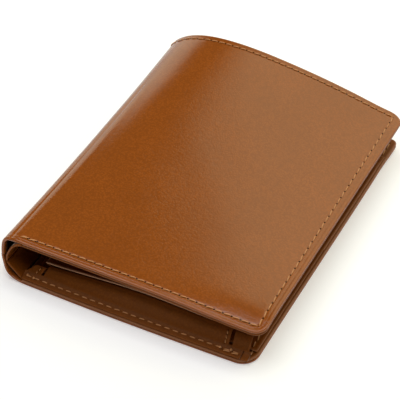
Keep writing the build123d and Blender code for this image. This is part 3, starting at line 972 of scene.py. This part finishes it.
# ---- seams --------------------------------------------------------------------------------
def seams():
    near_y, far_y = -HALF + SEAM_INSET, HALF - SEAM_INSET
    seam_start = shell.s_at(-40.7, upper_split)
    side = shell_end - SEAM_INSET
    rows = [
        stitch_arrays(shell, [(seam_start, near_y), (side, near_y)]),
        stitch_arrays(shell, [(side, near_y), (side, far_y)], pitch=3.65),
        stitch_arrays(shell, [(side, far_y), (upper_split + 0.2, far_y)], pitch=2.8),
        stitch_arrays(shell, [(seam_start - 0.4, near_y - 0.25), (seam_start + 5.6, near_y - 0.25)], pitch=2.8),
    ]
    piece = seam_piece("edge_seam_front", rows)
    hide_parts("thread_front_edge")
    ride_cover(piece)
    piece = seam_piece("edge_seam_spine", [stitch_arrays(shell, [(lower_split + 0.2, far_y), (upper_split - 0.2, far_y)], pitch=2.8)])
    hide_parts("thread_spine")
    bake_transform(piece)
    under = [(78.0, near_y), (SEAM_INSET, near_y), (SEAM_INSET, far_y), (78.0, far_y)]
    piece = seam_piece("edge_seam_underside", [stitch_arrays(shell, under, lift=-0.42)])
    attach(piece, "back_half")
    panel_rows = [
        stitch_arrays(back_panel, [(2.0, far_y), (BACK_X - INNER_X - 2.1, far_y), (BACK_X - INNER_X - 2.1, 52.5)]),
        stitch_arrays(back_panel, [(BACK_X - INNER_X - 2.2, near_y + 0.6), (BACK_X - INNER_X - 2.2, NEAR + 1.0)], lift=0.1),
        stitch_arrays(side_strip, [(1.6, NEAR + 1.0), (1.6, 46.0)]),
    ]
    piece = seam_piece("edge_seam_back", panel_rows)
    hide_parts("thread_back_edge")
    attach(piece, "back_half")
    foot_s = foot.knots[-1] - 1.7
    knots = [(foot_s - 0.2, LEFT_END + 1.2), (foot_s + 0.1, LEFT_END + 3.6), (foot_s, 31.6), (foot_s - 0.3, 35.2)]
    rows = [
        stitch_arrays(foot, [(foot_s, COIN_LOW[0] - 5.0), (foot_s, 38.8)], fill=0.62, slant=0.04, radius=0.18),
        stitch_arrays(foot, [(foot_s + 0.45, 33.0), (foot_s + 0.45, 38.6)], radius=0.2, pitch=2.6),
        stitch_arrays(wall, [(wall.knots[-1] - 0.4, -36.0), (2.4, -35.9)], fill=0.7, radius=0.16, pitch=2.0),
        stitch_arrays(wall, [(wall.knots[-1] - 0.4, BOX_RIGHT - 1.3), (1.2, BOX_RIGHT - 1.3)], fill=0.75, radius=0.17, pitch=1.8),
    ]
    rows += [stitch_arrays(foot, [(a, b), (a + 0.2, b + 1.0)], radius=0.42, rise=0.55, pitch=1.0) for a, b in knots]
    piece = seam_piece("coin_pocket_seam", rows)
    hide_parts("thread_coin_pocket")
    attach(piece, "back_half")
    low, high = extent("card_slot_back_2")
    top = Section([(low[0], high[2]), (high[0], high[2])])
    piece = seam_piece("card_slot_seam_back", [stitch_arrays(top, [(1.5, NEAR + 3.5), (1.5, high[1] - 1.0)])])
    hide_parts("thread_back_slots")
    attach(piece, "back_half")
    piece = seam_piece("flap_root_seam", [stitch_arrays(flap_face, [(1.6, -flap_half + 1.5), (1.6, flap_half - 1.5)])])
    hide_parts("thread_flap_root")
    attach(piece, "back_half")
    last = flap_face.knots[-1] - SEAM_INSET
    first = flap_face.s_at(FOLD_Y - 3.0)
    reach = flap_half - SEAM_INSET
    path = [(first, -reach), (last - 6.5, -reach)]
    path += [(last - 6.5 + 6.5 * math.sin(a), -reach + 6.5 - 6.5 * math.cos(a)) for a in (0.52, 1.05, math.pi / 2)]
    path += [(s, -t) for s, t in path[::-1]]
    piece = seam_piece("flap_edge_seam", [stitch_arrays(flap_face, path)])
    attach(piece, "coin_flap")
    front_rows = [
        stitch_arrays(front_panel, [(front_panel.knots[-1] - 1.4, -HALF + 3), (front_panel.knots[-1] - 1.4, HALF - 3)]),
        stitch_arrays(front_panel, [(front_panel.knots[-1] - 3, near_y), (SEAM_INSET, near_y), (SEAM_INSET, far_y),
                                    (front_panel.knots[-1] - 3, far_y)]),
    ]
    piece = seam_piece("card_slot_seam_front", front_rows)
    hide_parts("thread_front_slots")
    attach(piece, "front_half")


slot_low, slot_high = extent("card_slot_back_2")
side_strip = Section([(slot_high[0] - 3.6, slot_high[2]), (slot_high[0], slot_high[2])])


# ---- stage, light and camera --------------------------------------------------------------
def add_floor():
    mesh = bpy.data.meshes.new("floor")
    size = 3.0
    mesh.from_pydata([(-size, -size, -0.0001), (size, -size, -0.0001), (size, size, -0.0001), (-size, size, -0.0001)],
                     [], [(0, 1, 2, 3)])
    n = Nodes("pale_floor")
    n.put(n.shader.inputs["Base Color"], (0.82, 0.82, 0.82, 1))
    n.put(n.shader.inputs["Roughness"], 0.8)
    n.put(n.shader.inputs["Specular IOR Level"], 0.1)
    n.put(n.shader.inputs["Emission Color"], (1, 1, 1, 1))
    n.put(n.shader.inputs["Emission Strength"], 0.26)
    mesh.materials.append(n.material)
    floor = bpy.data.objects.new("floor", mesh)
    bpy.context.scene.collection.objects.link(floor)


def add_panel(name, azimuth, elevation, distance, width, height, radiance, tint=(1, 1, 1), roll=0.0):
    """A soft light panel that faces the wallet; azimuth is measured from +Y towards +X."""
    light = bpy.data.lights.new(name, "AREA")
    light.shape = "RECTANGLE"
    light.size = width
    light.size_y = height
    light.energy = radiance * math.pi * width * height
    light.color = tint
    obj = bpy.data.objects.new(name, light)
    a, e = math.radians(azimuth), math.radians(elevation)
    towards = Vector((math.sin(a) * math.cos(e), math.cos(a) * math.cos(e), math.sin(e)))
    obj.location = towards * distance
    turn = towards.to_track_quat("Z", "Y").to_matrix()
    obj.rotation_euler = (turn @ Matrix.Rotation(math.radians(roll), 3, "Z")).to_euler()
    bpy.context.scene.collection.objects.link(obj)


def add_lights():
    world = bpy.data.worlds.new("studio")
    world.use_nodes = True
    background = world.node_tree.nodes["Background"]
    background.inputs["Color"].default_value = (1, 1, 1, 1)
    background.inputs["Strength"].default_value = 0.04
    bpy.context.scene.world = world
    add_panel("overhead", 180, 86, 1.3, 1.5, 1.2, 2.8)
    add_panel("camera_side", 175, 35, 1.5, 1.6, 0.9, 0.12)
    add_panel("left_behind", -57, 15, 1.4, 1.05, 0.68, 1.45, (1.0, 0.96, 0.75))
    add_panel("reflector", 24, 42, 1.3, 1.50, 1.25, 1.55, (1.0, 0.97, 0.63), roll=-20)


def add_camera():
    azimuth, elevation, roll = math.radians(24.77), math.radians(41.04), math.radians(2.13)
    target = Vector((-5.85, 2.33, 0)) * MM
    back = Vector((math.sin(azimuth) * math.cos(elevation), -math.cos(azimuth) * math.cos(elevation),
                   math.sin(elevation)))
    right = Vector((math.cos(azimuth), math.sin(azimuth), 0))
    up = back.cross(right)
    tilted = right * math.cos(roll) + up * math.sin(roll)
    upright = up * math.cos(roll) - right * math.sin(roll)
    data = bpy.data.cameras.new("camera")
    data.lens = 144.8
    data.sensor_width = 36.0
    data.clip_start = 0.01
    camera = bpy.data.objects.new("camera", data)
    axes = Matrix((tilted, upright, back)).transposed().to_4x4()
    camera.matrix_world = Matrix.Translation(target + back * 562.67 * MM) @ axes
    bpy.context.scene.collection.objects.link(camera)
    bpy.context.scene.camera = camera
    bpy.context.scene.view_settings.view_transform = "Standard"


outer_shell()
linings()
interior()
card_slots()
coin_pocket()
flap()
press_stud()
seams()
add_floor()
add_lights()
add_camera()
